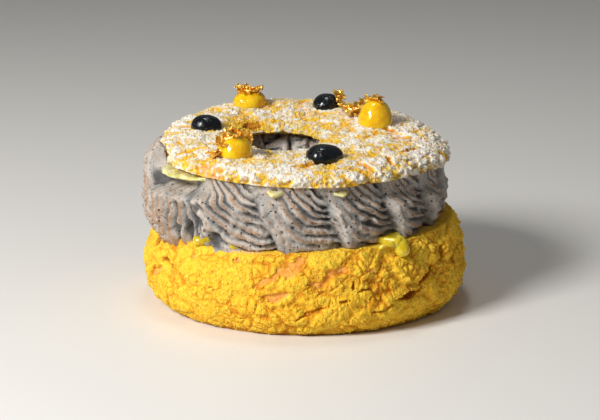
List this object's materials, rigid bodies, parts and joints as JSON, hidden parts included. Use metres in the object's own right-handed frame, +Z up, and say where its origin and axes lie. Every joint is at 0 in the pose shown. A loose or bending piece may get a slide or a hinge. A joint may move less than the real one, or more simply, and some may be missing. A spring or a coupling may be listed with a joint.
{
  "type": "paris brest pastry",
  "caption": "Ring-shaped choux pastry split level and filled with piped sesame cream and curd, its lid dotted with gel drops and gold leaf.",
  "frame": {"origin": "on the table, under the middle of the ring", "axes": "+Z up through the hole, +X to the right and -Y to the front, as the pastry is shown"},
  "size_m": [0.0903, 0.0888, 0.0547],
  "materials": {
    "crust": "crumbly, dull",
    "sugared_crust": "crumbly, dusted with icing sugar",
    "cream": "satin, flecked with black sesame",
    "curd": "wet, translucent",
    "black_gel": "wet, glossy",
    "yellow_gel": "wet, translucent",
    "gold_leaf": "polished, crumpled"
  },
  "bodies": {
    "root": {"base_choux": "crust", "lower_curd": "curd", "cream": "cream", "upper_curd": "curd", "lid_choux": "sugared_crust", "black_drop_1": "black_gel", "black_drop_2": "black_gel", "black_drop_3": "black_gel", "yellow_drop_1": "yellow_gel", "yellow_drop_2": "yellow_gel", "yellow_drop_3": "yellow_gel", "gold_leaf_1": "gold_leaf", "gold_leaf_2": "gold_leaf", "gold_leaf_3": "gold_leaf"}
  },
  "joints": []
}
